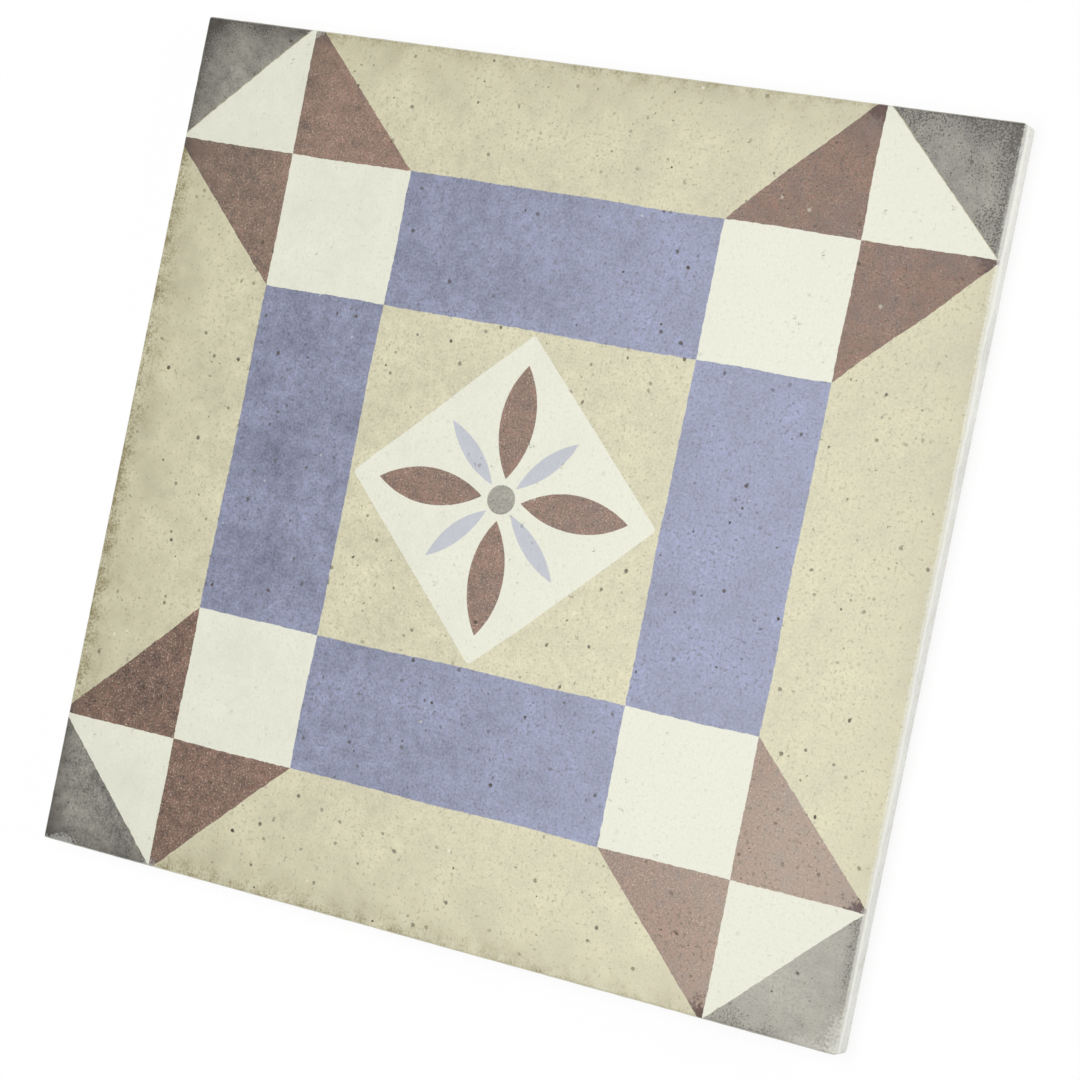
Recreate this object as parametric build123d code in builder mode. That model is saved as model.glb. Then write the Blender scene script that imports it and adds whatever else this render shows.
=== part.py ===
"""Square ceramic tile, dry pressed and fired as one piece, lying face up on its ribbed back.

The origin is the middle of the back, where two ribs cross. +Z points out of the glazed face.
"""

import os
from math import radians, tan

from build123d import *

# Body of the tile, in millimetres
SIDE = 200.0  # length of each side of the square face
THICKNESS = 7.5  # from the ribs of the back to the glazed face
SIDE_DRAFT = 3.2  # degrees that the sides lean out towards the back
FACE_ARRIS = 0.5  # radius where the face rolls over into the sides
FACE_CORNER = 0.2  # plan radius left at the corners of the flat face
BACK_ARRIS = 0.5  # radius where the sides meet the back

# Key pattern pressed into the back, which the bedding adhesive grips
BACK_RIM = 9.0  # plain rim between the outermost pockets and the sides
RIB_WIDTH = 3.0  # land between two neighbouring pockets
POCKETS_PER_SIDE = 6  # an even count, so that two ribs cross in the middle
POCKET_DEPTH = 0.8  # from the ribs to a pocket's floor
POCKET_CORNER = 2.0  # plan radius at a pocket's mouth
POCKET_DRAFT = 30.0  # degrees that a pocket's walls lean, so that the punch lets go

# Sizes that follow from the ones above
flare = THICKNESS * tan(radians(SIDE_DRAFT))
back_side = SIDE + 2 * flare
back_corner = FACE_CORNER + FACE_ARRIS + flare
relief_width = back_side - 2 * BACK_RIM
pocket_pitch = (relief_width + RIB_WIDTH) / POCKETS_PER_SIDE
pocket_width = pocket_pitch - RIB_WIDTH

with BuildPart() as tile:
    # The pressed blank, widest at the back, with its face and back arrises
    with BuildSketch():
        RectangleRounded(back_side, back_side, back_corner)
    extrude(amount=THICKNESS, taper=SIDE_DRAFT)
    fillet(tile.faces().sort_by(Axis.Z)[-1].edges(), FACE_ARRIS)
    fillet(tile.faces().sort_by(Axis.Z)[0].edges(), BACK_ARRIS)

    # The key pattern: shallow tapered pockets with ribs between them
    with BuildSketch():
        with GridLocations(pocket_pitch, pocket_pitch, POCKETS_PER_SIDE, POCKETS_PER_SIDE):
            RectangleRounded(pocket_width, pocket_width, POCKET_CORNER)
    extrude(amount=POCKET_DEPTH, taper=POCKET_DRAFT, mode=Mode.SUBTRACT)

tile.part.label = "tile"

os.makedirs("parts", exist_ok=True)
export_step(tile.part, "parts/tile.step")
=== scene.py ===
"""Looks of a square glazed floor tile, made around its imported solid.

One closed skin of fine faces stands for the solid: a printed face with small pits, soft arrises,
pale sides and a keyed back. Its material prints the pattern by formula, with the grain and the wear
of an old floor.
"""
import math
import random
from types import SimpleNamespace
from typing import NamedTuple

import bpy
import numpy as np
from mathutils import Matrix, Quaternion, Vector, noise


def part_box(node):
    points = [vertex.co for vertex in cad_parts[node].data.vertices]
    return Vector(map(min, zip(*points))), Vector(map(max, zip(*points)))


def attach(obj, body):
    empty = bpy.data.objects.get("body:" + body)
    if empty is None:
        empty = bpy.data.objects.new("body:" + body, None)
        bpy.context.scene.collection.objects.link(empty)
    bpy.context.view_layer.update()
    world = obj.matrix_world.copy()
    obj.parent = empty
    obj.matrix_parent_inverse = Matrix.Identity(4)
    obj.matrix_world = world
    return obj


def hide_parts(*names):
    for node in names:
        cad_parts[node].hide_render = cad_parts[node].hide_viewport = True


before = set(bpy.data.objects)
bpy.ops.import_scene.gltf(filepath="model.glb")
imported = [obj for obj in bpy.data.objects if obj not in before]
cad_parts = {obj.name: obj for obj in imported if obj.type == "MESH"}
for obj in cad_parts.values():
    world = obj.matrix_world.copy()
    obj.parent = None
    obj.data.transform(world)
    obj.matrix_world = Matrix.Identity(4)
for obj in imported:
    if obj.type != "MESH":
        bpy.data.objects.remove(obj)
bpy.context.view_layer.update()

# Sizes of the solid, in millimetres and degrees
MM = 0.001
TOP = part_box("tile")[1].z / MM
SIDE = 200.0
SIDE_DRAFT = 3.2
FACE_ARRIS = 0.5
FACE_CORNER = 0.2
BACK_ARRIS = 0.5
BACK_RIM = 9.0
RIB_WIDTH = 3.0
POCKETS_PER_SIDE = 6
POCKET_DEPTH = 0.8
POCKET_CORNER = 2.0
POCKET_DRAFT = 30.0

# Sizes that follow from the ones above
OUTLINE_CORNER = FACE_CORNER + FACE_ARRIS
CORE = SIDE / 2 - OUTLINE_CORNER  # half the width of the grids over the face and the back
LEAN = math.tan(math.radians(SIDE_DRAFT))
POCKET_PITCH = (SIDE + 2 * TOP * LEAN - 2 * BACK_RIM + RIB_WIDTH) / POCKETS_PER_SIDE
POCKET_HALF = (POCKET_PITCH - RIB_WIDTH) / 2
POCKET_WALL = POCKET_DEPTH * math.tan(math.radians(POCKET_DRAFT))

# How finely the skin is divided
FACE_CELLS = 120
CORNER_STEPS = 6
FACE_ARRIS_STEPS = 6
BACK_ARRIS_STEPS = 3
SIDE_STEPS = 3
RIM_STOP = 3.5  # a grid line across the back's rim, in from the core's edge
POCKET_STOPS = (-0.5, 0.0, 0.23, 0.46, 0.9, 1.5, 2.2, 3.4, 6.0, 9.5)  # in from a pocket's mouth
STRAIGHT_SHARE = 0.9  # what the straight side takes of each quarter turn

# Unevenness of the pressed and fired body, in millimetres; a layer tells one noise from another
FACE_SINK = 0.04
WARP_SIZE = 45.0
WARP_HEIGHT = 0.03
WARP_LAYER = 3.0
RIPPLE_SIZE = 6.0
RIPPLE_HEIGHT = 0.008
RIPPLE_LAYER = 9.0
WEAR_SIZE = 2.5
WEAR_MEAN = 0.5  # share of the wear that is there on average
SIDE_WEAR = 0.08
BACK_WEAR = 0.05
POCKET_SINK = 0.02
POCKET_GRAIN_SIZE = 2.0
POCKET_GRAIN_HEIGHT = 0.012
POCKET_GRAIN_LAYER = 5.0
POCKET_GRAIN_RISE = 4.0  # the grain is full after one part in this many of a pocket's wall

# Pits and light grains in the glaze: counts, lengths in millimetres, and shares
PITS = 1700
LIGHT_GRAINS = 90
PIT_RADIUS = 0.27
PIT_SPREAD = 0.48
PIT_SMALLEST = 0.14
PIT_LARGEST = 0.66
PIT_STRETCH = 1.5  # the longest pit, against its width
PIT_POINTS = 8
PIT_TURN = 0.25  # how far a rim's point strays, in steps between points
PIT_NARROWEST = 0.75
PIT_FLOOR = 0.68  # width of the floor, against the rim
PIT_WALL = 0.8  # depth at the floor's edge, against the middle
PIT_DEPTH_SHARE = 0.03
PIT_LEAST_DEPTH = 0.5
PIT_FAINTEST = 0.17
PIT_STRENGTH_RATE = 5.0
PIT_SIZE_STRENGTH = 0.45
CELL_MARGIN = 0.05
SEED = 11

# The printed pattern, in millimetres from its own centre
PRINT_CENTRE = (-0.39, 0.54)
BAND_INNER = 38.69
BAND_OUTER = 70.06
CORNER_CUT = 170.5
DIAMOND_REACH = 37.87
DIAMOND_ROUNDING = 1.1
PETAL_TIPS = (4.9, 31.0)
PETAL_WIDTH = 8.45
LEAF_TIPS = (4.25, 22.2)
LEAF_WIDTH = 4.0
DISC_RADIUS = 3.4
PRINT_BLUR = 0.09
DRIFT_SIZE = 30.0
PRINT_DRIFT = 0.12
WOBBLE_SIZE = 2.0
BAND_WOBBLE = 0.065
ROSETTE_WOBBLE = 0.015

# Camera, with lengths in millimetres and angles in degrees
VIEW_AIM = (10.69, -6.37)
VIEW_DISTANCE = 592.1
VIEW_AZIMUTH = 1.24
VIEW_ELEVATION = 67.43
VIEW_ROLL = -79.63
VIEW_LENS = 88.57
SENSOR_WIDTH = 36.0

# Studio, with lengths in millimetres
WORLD_LIGHT = 0.50
FLOOR_REACH = 6000.0
FLOOR_DROP = 0.05
FLOOR_GREY = 0.82
FLOOR_ROUGHNESS = 0.9
FLOOR_GLOW = 0.16
WHITE_BY_TILE = 0.8  # how far the floor shows as plain white at the tile
WHITE_FROM = 200.0  # from here on it is all white


def add_object(name, data):
    """A new object in the scene, made of this mesh, lamp or camera."""
    thing = bpy.data.objects.new(name, data)
    bpy.context.scene.collection.objects.link(thing)
    return thing


class Shell:
    """Points and faces of the tile's skin, in millimetres, with a speck mark on each point."""

    def __init__(self):
        self.points = []
        self.marks = []
        self.faces = []

    def add(self, point, mark=0.0):
        self.points.append(point)
        self.marks.append(mark)
        return len(self.points) - 1

    def strip(self, inner, outer):
        """Faces between two closed rings that run in step.

        A point that is repeated in one ring makes a triangle.
        """
        for i in range(len(inner)):
            j = (i + 1) % len(inner)
            corners = (inner[i], outer[i], outer[j], inner[j])
            self.faces.append(tuple(dict.fromkeys(corners)))

    def zipper(self, inner, inner_turns, outer, outer_turns, full_turn):
        """Triangles between two closed rings of unlike counts that run the same way round."""
        inner_ends = [*inner_turns[1:], inner_turns[0] + full_turn]
        outer_ends = [*outer_turns[1:], outer_turns[0] + full_turn]
        i = 0
        j = 0
        while i < len(inner) or j < len(outer):
            from_inner = inner[i % len(inner)]
            from_outer = outer[j % len(outer)]
            if j == len(outer) or (i < len(inner) and inner_ends[i] <= outer_ends[j]):
                i += 1
                self.faces.append((from_inner, from_outer, inner[i % len(inner)]))
            else:
                j += 1
                self.faces.append((from_inner, from_outer, outer[j % len(outer)]))


def face_height(x, y):
    """Height of the fired face: a little below true, with a slow warp and the glaze's own ripple."""
    warp = noise.noise((x / WARP_SIZE, y / WARP_SIZE, WARP_LAYER))
    ripple = noise.noise((x / RIPPLE_SIZE, y / RIPPLE_SIZE, RIPPLE_LAYER))
    return TOP + (-FACE_SINK + WARP_HEIGHT * warp + RIPPLE_HEIGHT * ripple)


def stations(lines):
    """Where the rings cross the rows of a core grid.

    Each is an anchor on the core's edge, the way out from it, and how far round the tile it lies,
    in quarter turns.
    """
    quarter = []
    for y in lines:
        share = STRAIGHT_SHARE * (y + CORE) / (2 * CORE)
        quarter.append((Vector((CORE, y)), Vector((1, 0)), share))
    for step in range(1, CORNER_STEPS):
        share = step / CORNER_STEPS
        angle = share * math.pi / 2
        way = Vector((math.cos(angle), math.sin(angle)))
        quarter.append((Vector((CORE, CORE)), way, STRAIGHT_SHARE + (1 - STRAIGHT_SHARE) * share))
    found = []
    for turn in range(4):
        spin = Matrix.Rotation(turn * math.pi / 2, 2)
        found += [(spin @ anchor, spin @ way, turn + share) for anchor, way, share in quarter]
    return found


def border(grid):
    """A grid's outer points in the order of the stations, with each corner repeated along its arc."""
    walk = []
    for side in (grid[-1, :], grid[::-1, -1], grid[0, ::-1], grid[:, 0]):
        walk.extend(int(point) for point in side)
        walk.extend([int(side[-1])] * (CORNER_STEPS - 1))
    return walk


def ring(shell, places, inset, height, wear):
    """One ring of points round the tile, this far in from its leaning side, worn a little off true."""
    points = []
    for anchor, way, _ in places:
        at = anchor + way * (OUTLINE_CORNER - inset + LEAN * (TOP - height))
        uneven = noise.noise((at.x / WEAR_SIZE, at.y / WEAR_SIZE, height / WEAR_SIZE))
        worn = wear * (WEAR_MEAN + uneven)
        at -= way * max(worn, 0.0)
        points.append(shell.add((at.x, at.y, height)))
    return points


def turn_of(way):
    """The angle of a way in the plane, from 0 to a full turn."""
    return math.atan2(way.y, way.x) % (2 * math.pi)


def pit_rim(length, width, rng):
    """The uneven rim of a pit: the ways out from its centre, in order, each with its angle."""
    lean = Matrix.Rotation(rng.uniform(0, math.pi), 2)
    rim = []
    for k in range(PIT_POINTS):
        angle = (k + rng.uniform(-PIT_TURN, PIT_TURN)) * 2 * math.pi / PIT_POINTS
        reach = rng.uniform(PIT_NARROWEST, 1.0)
        out = lean @ Vector((length * math.cos(angle), width * math.sin(angle))) * reach
        rim.append((turn_of(out), out))
    rim.sort(key=lambda entry: entry[0])
    return rim


def pit(shell, cell, middle, spread, rng, light):
    """Sinks one small uneven pit in a cell of the face and marks its floor as a speck."""
    radius = PIT_RADIUS * math.exp(rng.gauss(0, PIT_SPREAD))
    radius = min(max(radius, PIT_SMALLEST), PIT_LARGEST)
    length = min(radius * rng.uniform(1.0, PIT_STRETCH), PIT_LARGEST)
    play = spread - length
    centre = middle + Vector((rng.uniform(-play, play), rng.uniform(-play, play)))
    strength = PIT_FAINTEST + rng.expovariate(PIT_STRENGTH_RATE)
    strength = min(strength + PIT_SIZE_STRENGTH * (radius / PIT_LARGEST) ** 2, 1.0)
    depth = PIT_DEPTH_SHARE * radius * (PIT_LEAST_DEPTH + strength)
    mark = -strength if light else strength
    rim = pit_rim(length, radius, rng)
    outer = []
    inner = []
    for _, out in rim:
        at = centre + out
        outer.append(shell.add((at.x, at.y, face_height(at.x, at.y))))
        low = centre + out * PIT_FLOOR
        inner.append(shell.add((low.x, low.y, face_height(low.x, low.y) - PIT_WALL * depth), mark))
    bottom = shell.add((centre.x, centre.y, face_height(centre.x, centre.y) - depth), mark)
    corners = sorted((turn_of(Vector(shell.points[corner][:2]) - centre), corner) for corner in cell)
    corner_turns, corner_points = zip(*corners)
    rim_turns = [entry[0] for entry in rim]
    shell.zipper(outer, rim_turns, corner_points, corner_turns, full_turn=2 * math.pi)
    shell.strip(inner, outer)
    for k in range(PIT_POINTS):
        shell.faces.append((bottom, inner[k], inner[(k + 1) % PIT_POINTS]))


def face(shell):
    """The printed face as a fine grid with pits, down over its arris to the middle of the sides."""
    lines = np.linspace(-CORE, CORE, FACE_CELLS + 1)
    grid = np.array([[shell.add((x, y, face_height(x, y))) for y in lines] for x in lines])
    rng = random.Random(SEED)
    chosen = rng.sample(range(FACE_CELLS * FACE_CELLS), PITS + LIGHT_GRAINS)
    light = set(chosen[PITS:])
    chosen = set(chosen)
    half_cell = CORE / FACE_CELLS
    for i in range(FACE_CELLS):
        for j in range(FACE_CELLS):
            cell = (grid[i, j], grid[i + 1, j], grid[i + 1, j + 1], grid[i, j + 1])
            cell = tuple(int(point) for point in cell)
            number = i * FACE_CELLS + j
            if number in chosen:
                middle = Vector((lines[i] + half_cell, lines[j] + half_cell))
                pit(shell, cell, middle, half_cell - CELL_MARGIN, rng, number in light)
            else:
                shell.faces.append(cell)
    places = stations(lines)
    last = border(grid)
    for step in range(FACE_ARRIS_STEPS + 1):
        angle = step / FACE_ARRIS_STEPS * math.pi / 2
        inset = FACE_ARRIS * (1 - math.sin(angle))
        height = TOP - FACE_ARRIS * (1 - math.cos(angle)) - FACE_SINK * math.cos(angle)
        now = ring(shell, places, inset, height, SIDE_WEAR)
        shell.strip(last, now)
        last = now
    fall = (TOP - FACE_ARRIS) / 2 / SIDE_STEPS
    for step in range(1, SIDE_STEPS + 1):
        now = ring(shell, places, 0.0, TOP - FACE_ARRIS - fall * step, SIDE_WEAR)
        shell.strip(last, now)
        last = now
    return last, places


def pocket_middle(count):
    """Where the middle of a pocket lies along a side, counted from the first."""
    return (count - (POCKETS_PER_SIDE - 1) / 2) * POCKET_PITCH


def pocket_lines():
    """Grid lines over the back, close together where the pockets' walls and rounded corners are."""
    lines = [-CORE, -CORE + RIM_STOP, CORE - RIM_STOP, CORE]
    for count in range(POCKETS_PER_SIDE):
        middle = pocket_middle(count)
        lines.append(middle)
        for stop in POCKET_STOPS:
            lines.append(middle - POCKET_HALF + stop)
            lines.append(middle + POCKET_HALF - stop)
    return sorted(lines)


def pocket_depth(x, y):
    """How deep the key pattern is pressed into the back at a place, with softened edges."""
    reach = []
    for value in (x, y):
        count = math.floor(value / POCKET_PITCH + POCKETS_PER_SIDE / 2)
        count = min(max(count, 0), POCKETS_PER_SIDE - 1)
        reach.append(abs(value - pocket_middle(count)) - POCKET_HALF + POCKET_CORNER)
    past_corner = math.hypot(max(reach[0], 0.0), max(reach[1], 0.0))
    beyond = past_corner + min(max(reach), 0.0) - POCKET_CORNER
    share = min(max(-beyond / POCKET_WALL, 0.0), 1.0)
    soft = share * share * (3 - 2 * share)
    uneven = noise.noise((x / POCKET_GRAIN_SIZE, y / POCKET_GRAIN_SIZE, POCKET_GRAIN_LAYER))
    grain = POCKET_GRAIN_HEIGHT * uneven
    return POCKET_DEPTH * soft + (POCKET_SINK + grain) * min(share * POCKET_GRAIN_RISE, 1.0)


def back(shell):
    """The keyed back and its arris, up to a third of the height of the sides."""
    lines = pocket_lines()
    places = stations(lines)
    first = ring(shell, places, 0.0, (TOP - FACE_ARRIS) / 3, SIDE_WEAR)
    last = first
    for step in range(BACK_ARRIS_STEPS + 1):
        angle = step / BACK_ARRIS_STEPS * math.pi / 2
        inset = BACK_ARRIS * (1 - math.cos(angle))
        height = BACK_ARRIS * (1 - math.sin(angle))
        now = ring(shell, places, inset, height, BACK_WEAR * math.cos(angle))
        shell.strip(last, now)
        last = now
    grid = np.array([[shell.add((x, y, pocket_depth(x, y))) for y in lines] for x in lines])
    shell.strip(last, border(grid))
    for i in range(len(lines) - 1):
        for j in range(len(lines) - 1):
            cell = (grid[i, j], grid[i, j + 1], grid[i + 1, j + 1], grid[i + 1, j])
            shell.faces.append(tuple(int(point) for point in cell))
    return first, places


def bake_map(mesh):
    """Lays the skin out flat: the face over most of the map, and below it the back and the sides."""
    gap = 0.004
    low_part = 0.13
    face_area = (gap, low_part + gap, 1 - 2 * gap, 1 - low_part - 2 * gap)
    back_area = (gap, gap, low_part - 2 * gap, low_part - 2 * gap)
    strip_left = 0.136
    strip_step = 0.0315
    strip_height = 0.0265
    flat_normal = 0.7
    count = len(mesh.polygons)
    middles = np.empty(count * 3)
    normals = np.empty(count * 3)
    totals = np.empty(count, int)
    ends = np.empty(len(mesh.loops), int)
    points = np.empty(len(mesh.vertices) * 3)
    mesh.polygons.foreach_get("center", middles)
    mesh.polygons.foreach_get("normal", normals)
    mesh.polygons.foreach_get("loop_total", totals)
    mesh.loops.foreach_get("vertex_index", ends)
    mesh.vertices.foreach_get("co", points)
    middles = middles.reshape(-1, 3) / MM
    normals = normals.reshape(-1, 3)
    x, y, z = (points.reshape(-1, 3)[ends] / MM).T
    on_side = (np.abs(middles[:, :2]).max(1) > CORE) & (np.abs(normals[:, 2]) < flat_normal)
    on_face = ~on_side & (normals[:, 2] > 0)
    on_back = ~on_side & ~on_face
    patches = [
        (on_face, x / SIDE + 0.5, y / SIDE + 0.5, face_area),
        (on_back, 0.5 - x / SIDE, y / SIDE + 0.5, back_area),
    ]
    quarter = np.round(np.arctan2(normals[:, 1], normals[:, 0]) / (math.pi / 2)).astype(int) % 4
    for turn, along in enumerate((y, -x, -y, x)):
        area = (strip_left, gap + turn * strip_step, 1 - gap - strip_left, strip_height)
        patches.append((on_side & (quarter == turn), along / SIDE + 0.5, z / TOP, area))
    spots = np.zeros((len(ends), 2))
    for chosen, across, up, area in patches:
        here = np.repeat(chosen, totals)
        spots[here, 0] = area[0] + area[2] * across[here]
        spots[here, 1] = area[1] + area[3] * up[here]
    mesh.uv_layers.new(name="OFBake").data.foreach_set("uv", spots.ravel())


def tile_skin():
    """The whole tile as one closed mesh that stands for its solid."""
    shell = Shell()
    upper, upper_places = face(shell)
    lower, lower_places = back(shell)
    upper_turns = [place[2] for place in upper_places]
    lower_turns = [place[2] for place in lower_places]
    shell.zipper(upper, upper_turns, lower, lower_turns, full_turn=4.0)
    mesh = bpy.data.meshes.new("tile_skin")
    mesh.from_pydata([Vector(point) * MM for point in shell.points], [], shell.faces)
    mesh.attributes.new("speck", "FLOAT", "POINT").data.foreach_set("value", shell.marks)
    mesh.polygons.foreach_set("use_smooth", [True] * len(mesh.polygons))
    mesh.update()
    bake_map(mesh)
    return add_object("tile_skin", mesh)


def paint(red, green, blue):
    """A colour written as it looks on a screen, 0 to 255, turned into light by the sRGB curve."""
    light = []
    for value in (red, green, blue):
        share = value / 255
        light.append(share / 12.92 if share <= 0.04045 else ((share + 0.055) / 1.055) ** 2.4)
    return (*light, 1.0)


# How shader noise is spread about zero, and how far a seed moves it along each axis
NOISE_SPREAD = 7.0
SEED_MOVE = (1.0, 1.7, 0.6)


def feed(tree, slot, value):
    """Links a field to a node's slot, or writes a plain value there."""
    if isinstance(value, Field):
        tree.links.new(value.socket, slot)
    else:
        slot.default_value = value


class Field:
    """A number, place or colour that shader nodes work out, written as a formula."""

    def __init__(self, tree, socket):
        self.tree = tree
        self.socket = socket

    def compute(self, operation, *values):
        node = self.tree.nodes.new("ShaderNodeMath")
        node.operation = operation
        for slot, value in zip(node.inputs, values):
            feed(self.tree, slot, value)
        return Field(self.tree, node.outputs["Value"])

    def __add__(self, other):
        return self.compute("ADD", self, other)

    __radd__ = __add__

    def __sub__(self, other):
        return self.compute("SUBTRACT", self, other)

    def __rsub__(self, other):
        return self.compute("SUBTRACT", other, self)

    def __mul__(self, other):
        return self.compute("MULTIPLY", self, other)

    def __abs__(self):
        return self.compute("ABSOLUTE", self)

    def larger(self, other):
        return self.compute("MAXIMUM", self, other)

    def smaller(self, other):
        return self.compute("MINIMUM", self, other)

    def fade(self, length):
        """1 at zero, falling away over this length."""
        return self.compute("EXPONENT", self * (-1 / length))

    def rise(self, low, high):
        """0 up to low and 1 from high on, smooth between them; it falls where high is the smaller."""
        node = self.tree.nodes.new("ShaderNodeMapRange")
        node.interpolation_type = "SMOOTHSTEP"
        feed(self.tree, node.inputs["Value"], self)
        feed(self.tree, node.inputs["From Min"], low)
        feed(self.tree, node.inputs["From Max"], high)
        return Field(self.tree, node.outputs["Result"])

    def edge(self):
        """1 where the value is above zero, with the soft edge of the print."""
        return self.rise(-PRINT_BLUR, PRINT_BLUR)

    def shade(self, colour):
        """The colour made lighter or darker by this number."""
        node = self.tree.nodes.new("ShaderNodeVectorMath")
        node.operation = "SCALE"
        if isinstance(colour, Field):
            feed(self.tree, node.inputs["Vector"], colour)
        else:
            node.inputs["Vector"].default_value = colour[:3]
        feed(self.tree, node.inputs["Scale"], self)
        return Field(self.tree, node.outputs["Vector"])

    def mix(self, under, over):
        """The colour over laid on the colour under, as far as this number says."""
        node = self.tree.nodes.new("ShaderNodeMix")
        node.data_type = "RGBA"
        slots = {slot.identifier: slot for slot in node.inputs}
        feed(self.tree, slots["Factor_Float"], self)
        feed(self.tree, slots["A_Color"], under)
        feed(self.tree, slots["B_Color"], over)
        result = {slot.identifier: slot for slot in node.outputs}["Result_Color"]
        return Field(self.tree, result)

    def noise(self, size, detail, seed):
        """Uneven values about zero, most within plus and minus one, in patches of this size."""
        move = self.tree.nodes.new("ShaderNodeVectorMath")
        move.operation = "MULTIPLY_ADD"
        feed(self.tree, move.inputs[0], self)
        move.inputs[1].default_value = (1 / size,) * 3
        move.inputs[2].default_value = [step * seed for step in SEED_MOVE]
        node = self.tree.nodes.new("ShaderNodeTexNoise")
        node.noise_dimensions = "2D"
        node.inputs["Scale"].default_value = 1.0
        node.inputs["Detail"].default_value = detail
        self.tree.links.new(move.outputs["Vector"], node.inputs["Vector"])
        return (Field(self.tree, node.outputs["Fac"]) - 0.5) * NOISE_SPREAD


def hypot(x, y):
    """The length of a way in the plane, as a field."""
    total = x * x + y * y
    return total.compute("SQRT", total)


def lens(along, across, tips, width):
    """How far a place lies inside a petal between two arcs that meet at its tips."""
    half_length = (tips[1] - tips[0]) / 2
    half_width = width / 2
    radius = (half_length**2 + half_width**2) / (2 * half_width)
    return radius - hypot(along - sum(tips) / 2, across + (radius - half_width))


class Ink(NamedTuple):
    """A printed colour, and how strongly each kind of unevenness and wear shows in it.

    fine, blotch and cloud make it uneven at three scales. rightward, upward, diagonal and leftmost
    change its tone over the face, partly as fading of the print and partly as painted light: a painted
    sheen makes it lighter towards the right, and painted shade darker towards the left. dust_and_sheen
    and wash make it paler in places, partly as a dust film and faded print and partly as a
    painted sheen, and soot and dirt darken it along the sides of the face.
    """

    colour: tuple
    fine: float
    blotch: float
    cloud: float
    dots: float = 0.0
    grains: float = 0.0
    stains: float = 0.0
    pits: float = 0.9
    chips: float = 0.5
    cracks: float = 0.0
    rightward: float = 0.0
    upward: float = 0.0
    diagonal: float = 0.0
    leftmost: float = 0.0
    dust_and_sheen: float = 0.0
    wash: float = 0.0
    soot: float = 0.0
    dirt: float = 0.0


WHITE = Ink(
    paint(221, 221, 205), fine=0.016, blotch=0.012, cloud=0.019,
    stains=0.08, pits=0.12, chips=0.1, rightward=0.03, dirt=0.2,
)
CREAM = Ink(
    paint(203, 198, 168), fine=0.049, blotch=0.038, cloud=0.048,
    dots=0.09, grains=0.06, stains=0.24, pits=0.8, cracks=0.03,
    rightward=0.04, upward=-0.015, diagonal=-0.02, dirt=1.0,
)
BLUE = Ink(
    paint(131, 136, 162), fine=0.102, blotch=0.070, cloud=0.086,
    dots=0.12, grains=0.04, stains=0.40, cracks=0.12, rightward=0.145,
)
BROWN = Ink(
    paint(123, 91, 74), fine=0.165, blotch=0.095, cloud=0.095,
    dots=0.32, grains=0.23, stains=0.50,
    rightward=0.06, diagonal=-0.10, leftmost=0.28, dust_and_sheen=0.05, wash=0.16, soot=0.9,
)
GREY = Ink(
    paint(137, 134, 124), fine=0.160, blotch=0.115, cloud=0.145,
    dots=0.22, grains=0.10, stains=0.18,
    rightward=0.11, upward=0.045, diagonal=-0.095, wash=0.14, soot=1.0,
)
PALE_BLUE = Ink(
    paint(181, 184, 191), fine=0.020, blotch=0.025, cloud=0.020,
    pits=0.35, chips=0.2,
)
DISC_GREY = Ink(
    paint(146, 143, 132), fine=0.130, blotch=0.080, cloud=0.040,
    dots=0.15, grains=0.06, pits=0.8,
)
PIT_BROWN = paint(54, 42, 18)
STAIN_OLIVE = paint(84, 76, 54)
# A pale colour for chips and light grains, and for the painted sheen
CHIP_AND_SHEEN_LIGHT = paint(238, 234, 216)
DIRT_OLIVE = paint(118, 106, 66)
SOOT_BROWN = paint(31, 21, 9)
SCORCH_BROWN = paint(62, 24, 3)
HAIRLINE_TAN = paint(150, 138, 98)
# The colour of bare glaze, also painted as a highlight on the arris
BARE_GLAZE_AND_HIGHLIGHT = paint(236, 236, 227)
BODY_CLAY = paint(228, 228, 222)
BODY_SAND = paint(204, 197, 182)

# Sizes of the patches of unevenness, in millimetres
DUST_SIZE = 0.42
FINE_SIZE = 0.65
STAIN_SIZE = 0.9
BLOTCH_SIZE = 2.6
VEIN_SIZE = 4.0
RAGGED_SIZE = 5.0
CLOUD_SIZE = 12.0
SIDE_SLANT = 0.6  # how far the patches move along Y on their way down the sides

# Where unevenness turns into a mark
DOT_LIMIT = 0.55
GRAIN_LIMIT = 0.75
STAIN_RANGE = (1.0, 1.8)
CRACK_RANGE = (0.16, 0.0)
SAND_RANGE = (0.5, 1.6)
SAND_SHARE = 0.5

# Where the tone changes over the face, partly print fading and partly painted sheen and shade, in
# millimetres from its middle
TONE_REACH = 55.0
LEFTMOST_RANGE = (-62.0, -80.0)
FADING_AND_SHEEN_RANGE = (55.0, 85.0)

# How strongly dirt has settled along each side of the face: right, left, top, bottom
EDGE_DIRT = (0.12, 0.66, 0.35, 0.42)
EDGE_DIRT_WIDTH = 2.6
EDGE_DIRT_SHARE = 0.75
DIRT_HAZE_WIDTH = 14.0
DIRT_HAZE_SHARE = 0.3

# Soot along the sides of the face, and the scorched tips of the triangles
SOOT_STRENGTH = 0.85
SOOT_WIDTH = 4.6
SOOT_RIM = 1.6
SOOT_LIMIT = 0.7
SOOT_RANGE = (-0.4, 1.75)
SOOT_HAZE_WIDTH = 9.0
SOOT_HAZE_SHARE = 0.16
CLEAN_CORNER = (197.0, 180.0)  # x less y where the soot ends at the lower right corner
MOST_COVER = 0.9  # dirt and soot hide no more of an ink than this
TIP_SCORCH = (6.0, 4.5)
SCORCH_RANGE = (0.0, 0.5)
SCORCH_SHARE = 0.95

# The tan hairline along a cut corner: half widths where it ends and is full, and its growth along Y
HAIRLINE_WIDTH = (0.3, 0.1)
HAIRLINE_GROWTH = (-20.0, 20.0)
HAIRLINE_SHARE = 0.5
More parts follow.
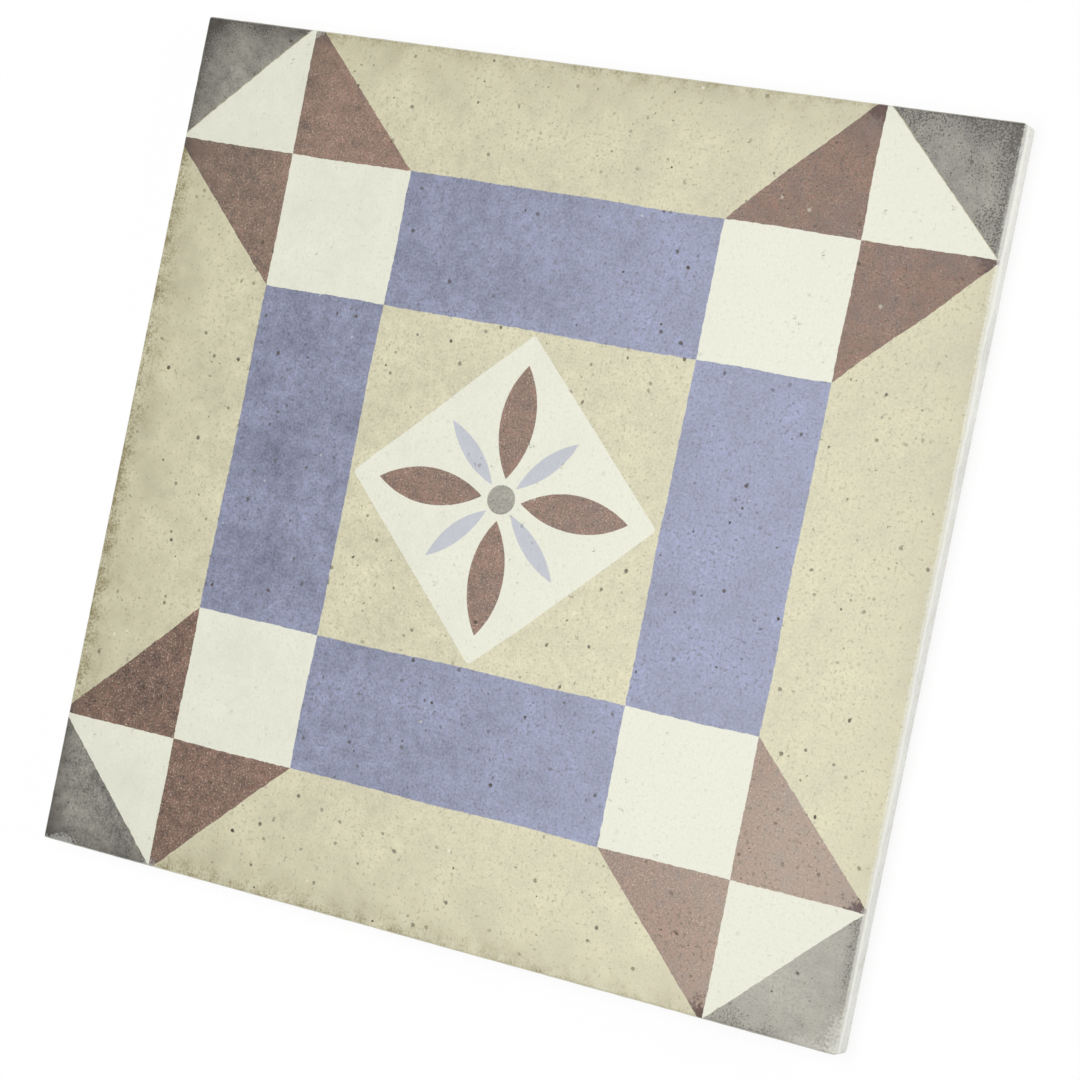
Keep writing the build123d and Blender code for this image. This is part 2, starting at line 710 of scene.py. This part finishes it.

# Rubs where the print is worn off the glaze, and two strips down the right edge that are a painted
# highlight on its arris: middle, half sizes and how far the bare glaze shows
RUBS_AND_HIGHLIGHTS = (
    # A painted highlight along the right arris
    ((100.3, 0.0), (0.9, 140.0), 0.3),
    # A painted highlight on the right arris towards the upper corner
    ((100.3, 76.0), (1.2, 27.0), 0.2),
    ((99.5, -97.0), (3.0, 6.0), 0.25),
    ((95.0, -99.5), (7.0, 2.2), 0.2),
    ((-95.0, -99.8), (6.0, 1.6), 0.25),
    ((-70.5, -99.6), (2.0, 1.6), 0.25),
    ((-70.5, 99.8), (2.0, 1.4), 0.3),
)
RUB_AND_HIGHLIGHT_RANGE = (-0.2, 0.7)

# Heights between which the print and the glaze end on the sides, and how rough and bumpy they are
PRINT_END = (TOP - 2.3, TOP - 0.9)
GLAZE_END = (TOP - 3.7, TOP - 3.3)
BODY_ROUGHNESS = 0.78
GLAZE_ROUGHNESS = 0.38
BUMP_STRENGTH = 0.35
BUMP_HEIGHT = 0.03


def printed(spot, ink):
    """One ink as it was printed and has worn, with the painted sheen and shade of its tone over the
    face.
    """
    level = spot.fine * ink.fine + spot.blotch * ink.blotch + spot.cloud * ink.cloud + 1.0
    if ink.dots:
        level = level - spot.dots * ink.dots
    if ink.cracks:
        level = level + spot.cracks * ink.cracks
    # Tone over the face: partly print fading, partly painted sheen to the right and painted shade to the
    # left
    if ink.rightward:
        level = level + spot.right * ink.rightward
    if ink.upward:
        level = level + spot.upper * ink.upward
    if ink.diagonal:
        level = level + spot.right * spot.upper * ink.diagonal
    if ink.leftmost:
        level = level - spot.leftmost * ink.leftmost
    colour = level.shade(ink.colour)
    if ink.grains:
        colour = (spot.grains * ink.grains).mix(colour, CHIP_AND_SHEEN_LIGHT)
    # Paler in places: partly a dust film and faded print, partly painted sheen
    if ink.dust_and_sheen:
        colour = (spot.dust_and_sheen * ink.dust_and_sheen).mix(colour, CHIP_AND_SHEEN_LIGHT)
    if ink.wash:
        colour = (spot.washed * ink.wash).mix(colour, CHIP_AND_SHEEN_LIGHT)
    if ink.dirt:
        colour = (spot.dirt * ink.dirt).smaller(MOST_COVER).mix(colour, DIRT_OLIVE)
    if ink.soot:
        colour = (spot.soot * ink.soot).smaller(MOST_COVER).mix(colour, SOOT_BROWN)
    if ink.stains:
        colour = (spot.stains * ink.stains).mix(colour, STAIN_OLIVE)
    colour = (spot.pits * ink.pits).mix(colour, PIT_BROWN)
    return (spot.chips * ink.chips).mix(colour, CHIP_AND_SHEEN_LIGHT)


def add_places(spot, tree):
    """Coordinates in millimetres, and the flat place that all the noise is taken from."""
    source = tree.nodes.new("ShaderNodeTexCoord")
    scale = tree.nodes.new("ShaderNodeVectorMath")
    scale.operation = "SCALE"
    scale.inputs["Scale"].default_value = 1 / MM
    tree.links.new(source.outputs["Object"], scale.inputs[0])
    split = tree.nodes.new("ShaderNodeSeparateXYZ")
    tree.links.new(scale.outputs["Vector"], split.inputs["Vector"])
    spot.x, spot.y, spot.z = (Field(tree, split.outputs[axis]) for axis in "XYZ")
    join = tree.nodes.new("ShaderNodeCombineXYZ")
    feed(tree, join.inputs["X"], spot.x + spot.z)
    feed(tree, join.inputs["Y"], spot.y + spot.z * SIDE_SLANT)
    spot.place = Field(tree, join.outputs["Vector"])


def add_grain(spot, tree):
    """Unevenness at all scales, the marks that come from it, and the pits and chips of the skin."""
    spot.fine = spot.place.noise(FINE_SIZE, detail=2.0, seed=1.3)
    spot.blotch = spot.place.noise(BLOTCH_SIZE, detail=2.0, seed=4.1)
    spot.cloud = spot.place.noise(CLOUD_SIZE, detail=3.0, seed=7.7)
    spot.dust = spot.place.noise(DUST_SIZE, detail=1.0, seed=3.6)
    spot.ragged = spot.place.noise(RAGGED_SIZE, detail=4.0, seed=2.9)
    patchy = spot.blotch * 0.2
    spot.dots = (patchy * -1.0 - spot.dust - DOT_LIMIT).larger(0.0)
    spot.grains = (patchy + spot.dust - GRAIN_LIMIT).larger(0.0)
    blots = spot.place.noise(STAIN_SIZE, detail=1.0, seed=12.4)
    spot.stains = (blots + spot.cloud * 0.25).rise(*STAIN_RANGE)
    veins = abs(spot.place.noise(VEIN_SIZE, detail=3.0, seed=8.3))
    spot.cracks = veins.rise(*CRACK_RANGE) * (spot.cloud + 0.6).larger(0.0)
    mark = tree.nodes.new("ShaderNodeAttribute")
    mark.attribute_name = "speck"
    speck = Field(tree, mark.outputs["Fac"])
    spot.pits = speck.larger(0.0) * (spot.cloud * 0.25 + 1.0)
    spot.chips = (speck * -1.0).larger(0.0)


def add_tones_and_painted_light(spot):
    """How the tone changes over the face: sideways, upwards, far left, and where it is paler; partly
    fading and dust, partly painted sheen and painted shade.
    """
    spot.right = (spot.x * (1 / TONE_REACH)).larger(-1.0).smaller(1.0)
    spot.upper = (spot.y * (1 / TONE_REACH)).larger(-1.0).smaller(1.0)
    spot.leftmost = spot.x.rise(*LEFTMOST_RANGE) * (spot.upper * 0.35 + 0.65)
    # Paler at the upper left and lower right: partly a dust film, partly painted sheen
    spot.dust_and_sheen = ((spot.right + spot.upper) * 0.1 - spot.right * spot.upper * 0.5 + 0.5).larger(0.0)
    # Paler at the lower right: partly faded print, partly painted sheen
    spot.washed = (spot.right - spot.upper - 1.0).larger(0.0) * (spot.x.rise(*FADING_AND_SHEEN_RANGE) * 0.6 + 0.4)


def settled_dirt(spot, distances):
    """Dirt along the four sides of the face: a narrow crust and a wide haze."""
    sides = []
    for away, strength in zip(distances, EDGE_DIRT):
        crust = away.fade(EDGE_DIRT_WIDTH) * EDGE_DIRT_SHARE
        haze = away.fade(DIRT_HAZE_WIDTH) * DIRT_HAZE_SHARE
        sides.append((crust + haze) * strength)
    right, left, top, bottom = sides
    bottom = bottom * (spot.right * -0.3 + 1.0)
    uneven = spot.ragged * 0.35 + spot.fine * 0.5 + spot.blotch * 0.4 + spot.dust * 0.3 + 0.95
    return (right + left + top + bottom) * uneven.larger(0.0)


def settled_soot(spot, distances, nearest):
    """Soot along the four sides of the face: a speckled crust, and a haze on the left."""
    rims = [away.fade(SOOT_WIDTH) for away in distances]
    rim = (rims[0] + rims[1] + rims[2] + rims[3]) * SOOT_RIM
    speckle = spot.fine * 0.5 + spot.dust * 0.6 + spot.ragged * 0.35 + spot.blotch * 0.1
    speckled_rim = rim + speckle * (spot.right * 0.2 + spot.upper * 0.2 + 0.6)
    sooty = (speckled_rim + spot.upper * 0.1 - SOOT_LIMIT).rise(*SOOT_RANGE)
    clean_corner = (spot.x - spot.y).rise(*CLEAN_CORNER)
    crust = sooty * clean_corner * (spot.right * 0.1 + spot.upper * 0.05 + SOOT_STRENGTH)
    haze = nearest.fade(SOOT_HAZE_WIDTH) * (spot.right * -0.5 + 0.5)
    return crust + haze * SOOT_HAZE_SHARE


def add_edges(spot):
    """Where the face is flat, and the dirt and soot along its sides: right, left, top, bottom."""
    half = SIDE / 2
    distances = (half - spot.x, half + spot.x, half - spot.y, half + spot.y)
    nearest = distances[0].smaller(distances[1]).smaller(distances[2]).smaller(distances[3])
    spot.flat = nearest.rise(0.0, FACE_ARRIS)
    spot.dirt = settled_dirt(spot, distances) * spot.flat
    spot.soot = settled_soot(spot, distances, nearest) * spot.flat


def wear_at_spot(tree):
    """All that the inks and the body take from a spot on the tile: its place, grain, tone and dirt."""
    spot = SimpleNamespace()
    add_places(spot, tree)
    add_grain(spot, tree)
    add_tones_and_painted_light(spot)
    add_edges(spot)
    return spot


def rubbed_and_highlit(spot, colour):
    """The print with its rubs, where the bare glaze shows through, and the painted highlight down the
    right arris.
    """
    for (x, y), (half_x, half_y), share in RUBS_AND_HIGHLIGHTS:
        away = hypot((spot.x - x) * (1 / half_x), (spot.y - y) * (1 / half_y))
        bare_share = (spot.ragged * 0.2 + spot.fine * 0.3 - away + 1.0).rise(*RUB_AND_HIGHLIGHT_RANGE)
        colour = (bare_share * share).mix(colour, BARE_GLAZE_AND_HIGHLIGHT)
    return colour


def scorched_brown(spot, far, near):
    """The brown ink, with the tips of the triangles scorched on the right half of the face."""
    tip = hypot((far - SIDE / 2) * (1 / TIP_SCORCH[0]), (near - BAND_OUTER) * (1 / TIP_SCORCH[1]))
    right_half = spot.x.rise(0.0, 1.0)
    scorched = (spot.fine * 0.15 + spot.ragged * 0.2 - tip + 1.0).rise(*SCORCH_RANGE) * right_half
    return (scorched * SCORCH_SHARE).mix(printed(spot, BROWN), SCORCH_BROWN)


def bands(spot, x, y, white, brown):
    """Blue bands and white squares round the cream middle, and the border with its triangles."""
    far = x.larger(y)
    near = x.smaller(y)
    cream = printed(spot, CREAM)
    middle = (far - BAND_INNER).edge().mix(cream, printed(spot, BLUE))
    middle = (near - BAND_INNER).edge().mix(middle, white)
    past_cut = x + y - CORNER_CUT
    hairline = abs(past_cut).rise(*HAIRLINE_WIDTH) * spot.y.rise(*HAIRLINE_GROWTH) * HAIRLINE_SHARE
    corner = past_cut.edge().mix(white, printed(spot, GREY))
    corner = hairline.mix(corner, HAIRLINE_TAN)
    triangle = (near - far + (BAND_OUTER - BAND_INNER)).edge()
    strip = (near - BAND_OUTER).edge().mix(triangle.mix(cream, brown), corner)
    return (far - BAND_OUTER).edge().mix(middle, strip)


def rosette(spot, x, y, ground, white, brown):
    """The white diamond on the ground, with four leaves, four petals and a disc."""
    along = (x + y) * math.sqrt(0.5)
    across = abs(x - y) * math.sqrt(0.5)
    inset = DIAMOND_REACH * math.sqrt(0.5) - DIAMOND_ROUNDING
    past_along = along - inset
    past = hypot(past_along.larger(0.0), (across - inset).larger(0.0)) + past_along.smaller(0.0)
    colour = (DIAMOND_ROUNDING - past).edge().mix(ground, white)
    colour = lens(along, across, LEAF_TIPS, LEAF_WIDTH).edge().mix(colour, printed(spot, PALE_BLUE))
    colour = lens(x.larger(y), x.smaller(y), PETAL_TIPS, PETAL_WIDTH).edge().mix(colour, brown)
    return (DISC_RADIUS - hypot(x, y)).edge().mix(colour, printed(spot, DISC_GREY))


def printed_face(spot):
    """The whole pattern, a little off true: a rosette on a diamond, with bands and a border round it."""
    slow = spot.place.noise(DRIFT_SIZE, detail=1.0, seed=5.5)
    quick = spot.place.noise(WOBBLE_SIZE, detail=3.0, seed=6.4)
    wander = spot.place.noise(WOBBLE_SIZE, detail=3.0, seed=9.2)
    true_x = spot.x - PRINT_CENTRE[0] + slow * PRINT_DRIFT
    true_y = spot.y - PRINT_CENTRE[1] - slow * PRINT_DRIFT
    x = abs(true_x + quick * BAND_WOBBLE)
    y = abs(true_y + wander * BAND_WOBBLE)
    white = printed(spot, WHITE)
    brown = scorched_brown(spot, x.larger(y), x.smaller(y))
    ground = bands(spot, x, y, white, brown)
    x = abs(true_x + quick * ROSETTE_WOBBLE)
    y = abs(true_y + wander * ROSETTE_WOBBLE)
    return rosette(spot, x, y, ground, white, brown)


def fired_body(spot):
    """The bare pale clay of the back and the lower sides, sandy and a little uneven."""
    level = spot.fine * 0.02 + spot.blotch * 0.02 + spot.cloud * 0.03 + 1.0
    sand = spot.blotch.rise(*SAND_RANGE)
    return level.shade((sand * SAND_SHARE).mix(BODY_CLAY, BODY_SAND))


def glazed_tile():
    """Printed glaze on the face that thins over the arris, partly as the print's own edge and partly as
    a painted highlight, bare glaze below it, and then fired clay.
    """
    material = bpy.data.materials.new("glazed_tile")
    material.use_nodes = True
    tree = material.node_tree
    spot = wear_at_spot(tree)
    print_line = spot.blotch * 0.12 + spot.cloud * 0.15
    glaze_line = spot.cloud * 0.5 + spot.blotch * 0.15
    # The print thins over the arris towards the pale glaze: partly its own edge, partly a painted
    # highlight where light catches the arris
    on_print = (spot.z + print_line).rise(*PRINT_END) * (spot.flat * 0.35 + 0.65)
    on_glaze = (spot.z + glaze_line).rise(*GLAZE_END)
    glaze = (spot.fine * 0.006 + spot.cloud * 0.01 + 1.0).shade(BARE_GLAZE_AND_HIGHLIGHT)
    colour = on_glaze.mix(fired_body(spot), on_print.mix(glaze, rubbed_and_highlit(spot, printed_face(spot))))
    shader = tree.nodes["Principled BSDF"]
    feed(tree, shader.inputs["Base Color"], colour)
    smoothing = BODY_ROUGHNESS - GLAZE_ROUGHNESS
    change = spot.cloud * 0.03 + spot.blotch * 0.03 + spot.pits * 0.1 - smoothing
    feed(tree, shader.inputs["Roughness"], on_glaze * change + BODY_ROUGHNESS)
    bump = tree.nodes.new("ShaderNodeBump")
    bump.inputs["Strength"].default_value = BUMP_STRENGTH
    bump.inputs["Distance"].default_value = BUMP_HEIGHT * MM
    feed(tree, bump.inputs["Height"], spot.fine * 0.5 + spot.blotch * 0.5)
    tree.links.new(bump.outputs["Normal"], shader.inputs["Normal"])
    return material


def seen_rays(tree):
    """1 for rays that show the background: straight from the camera, off gloss or through glass."""
    path = tree.nodes.new("ShaderNodeLightPath")
    names = ("Is Camera Ray", "Is Glossy Ray", "Is Transmission Ray")
    seen, glossy, through = (Field(tree, path.outputs[name]) for name in names)
    return seen.larger(glossy).larger(through)


def studio_world():
    """Even soft light from all round, shown as white."""
    world = bpy.data.worlds.new("studio")
    bpy.context.scene.world = world
    world.use_nodes = True
    tree = world.node_tree
    background = tree.nodes["Background"]
    background.inputs["Color"].default_value = (1.0, 1.0, 1.0, 1.0)
    feed(tree, background.inputs["Strength"], seen_rays(tree) * (1 - WORLD_LIGHT) + WORLD_LIGHT)


def lamp(name, place, aim, size, energy):
    """A soft rectangular lamp, with its lengths in millimetres."""
    light = bpy.data.lights.new(name, "AREA")
    light.shape = "RECTANGLE"
    light.size, light.size_y = Vector(size) * MM
    light.energy = energy
    holder = add_object(name, light)
    holder.location = Vector(place) * MM
    way = Vector(aim) - Vector(place)
    holder.rotation_euler = way.to_track_quat("-Z", "Y").to_euler()


def floor_material():
    """Pale grey that takes the tile's shadow and shows as white a little way off."""
    material = bpy.data.materials.new("floor")
    material.use_nodes = True
    tree = material.node_tree
    shader = tree.nodes["Principled BSDF"]
    shader.inputs["Base Color"].default_value = (FLOOR_GREY, FLOOR_GREY, FLOOR_GREY, 1.0)
    shader.inputs["Roughness"].default_value = FLOOR_ROUGHNESS
    shader.inputs["Specular IOR Level"].default_value = 0.0
    shader.inputs["Emission Color"].default_value = (1.0, 1.0, 1.0, 1.0)
    rays = seen_rays(tree)
    feed(tree, shader.inputs["Emission Strength"], rays * FLOOR_GLOW)
    place = tree.nodes.new("ShaderNodeTexCoord")
    split = tree.nodes.new("ShaderNodeSeparateXYZ")
    tree.links.new(place.outputs["Object"], split.inputs["Vector"])
    x, y = (abs(Field(tree, split.outputs[axis])) for axis in "XY")
    far_off = x.larger(y).rise(SIDE / 2 * MM, WHITE_FROM * MM)
    shown_white = far_off * (1 - WHITE_BY_TILE) + WHITE_BY_TILE
    white = tree.nodes.new("ShaderNodeEmission")
    join = tree.nodes.new("ShaderNodeMixShader")
    feed(tree, join.inputs[0], rays * shown_white)
    tree.links.new(shader.outputs["BSDF"], join.inputs[1])
    tree.links.new(white.outputs["Emission"], join.inputs[2])
    tree.links.new(join.outputs["Shader"], tree.nodes["Material Output"].inputs["Surface"])
    return material


def studio_floor():
    """A wide floor just under the tile."""
    reach = FLOOR_REACH * MM
    corners = [(-reach, -reach), (reach, -reach), (reach, reach), (-reach, reach)]
    mesh = bpy.data.meshes.new("floor")
    mesh.from_pydata([(x, y, -FLOOR_DROP * MM) for x, y in corners], [], [(0, 1, 2, 3)])
    mesh.materials.append(floor_material())
    floor = add_object("floor", mesh)


def photo_camera():
    """The camera at the photograph's viewing angle."""
    data = bpy.data.cameras.new("camera")
    data.sensor_width = SENSOR_WIDTH
    data.lens = VIEW_LENS
    camera = add_object("camera", data)
    azimuth = math.radians(VIEW_AZIMUTH)
    elevation = math.radians(VIEW_ELEVATION)
    level = math.cos(elevation)
    behind = Vector((level * math.cos(azimuth), level * math.sin(azimuth), math.sin(elevation)))
    upright = behind.to_track_quat("Z", "Y")
    camera.rotation_mode = "QUATERNION"
    camera.rotation_quaternion = Quaternion(behind, math.radians(VIEW_ROLL)) @ upright
    camera.location = (Vector((*VIEW_AIM, TOP)) + behind * VIEW_DISTANCE) * MM
    bpy.context.scene.camera = camera


bpy.context.scene.view_settings.view_transform = "Standard"
photo_camera()
studio_world()
lamp("softbox", place=(-120, -30, 700), aim=(-120, -30, 0), size=(360, 700), energy=2.9)
lamp("side_fill", place=(830, 250, 220), aim=(100, 0, 0), size=(500, 500), energy=2.5)
studio_floor()
tile = tile_skin()
tile.data.materials.append(glazed_tile())
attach(tile, "root")
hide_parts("tile")
